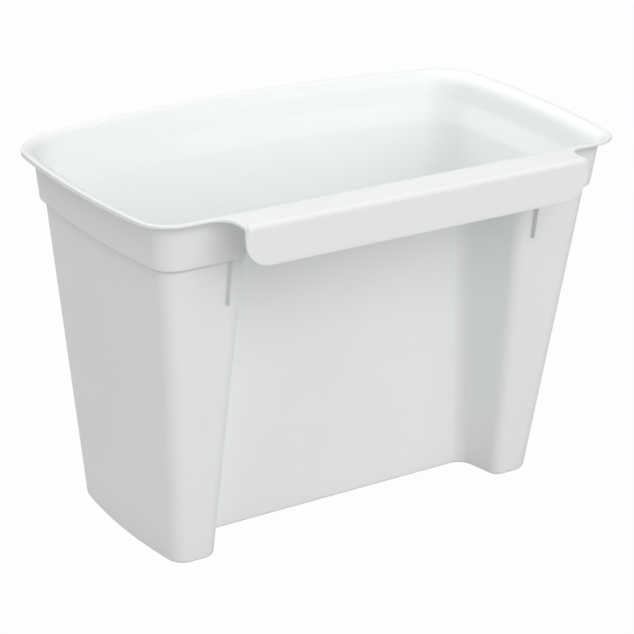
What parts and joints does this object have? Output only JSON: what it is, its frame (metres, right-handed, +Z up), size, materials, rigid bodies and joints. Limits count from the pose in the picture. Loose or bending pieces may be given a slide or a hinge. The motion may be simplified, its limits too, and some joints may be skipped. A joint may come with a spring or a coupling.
{
  "type": "over-the-edge waste bin",
  "caption": "White open-top plastic waste bin with a bowed back, a stepped band, a flared rim, a front hanging lip and a recess between two hollow front columns.",
  "frame": {"origin": "middle of the bin's bounding box, on the surface that it stands on", "axes": "+X across the front, from the left column to the right one as seen from the front; +Z up; the front, with the hanging lip and the recess, is the -Y side"},
  "size_m": [0.329, 0.2256, 0.23],
  "materials": {
    "white_plastic": "fine satin texture, injection-moulded polypropylene"
  },
  "bodies": {
    "root": {"floor_pan": "white_plastic", "back_wall": "white_plastic", "left_side_wall": "white_plastic", "right_side_wall": "white_plastic", "left_column": "white_plastic", "right_column": "white_plastic", "recess_panel": "white_plastic", "stacking_band": "white_plastic", "rim_flange": "white_plastic", "hanging_lip": "white_plastic", "left_nesting_rib": "white_plastic", "right_nesting_rib": "white_plastic"}
  },
  "joints": []
}
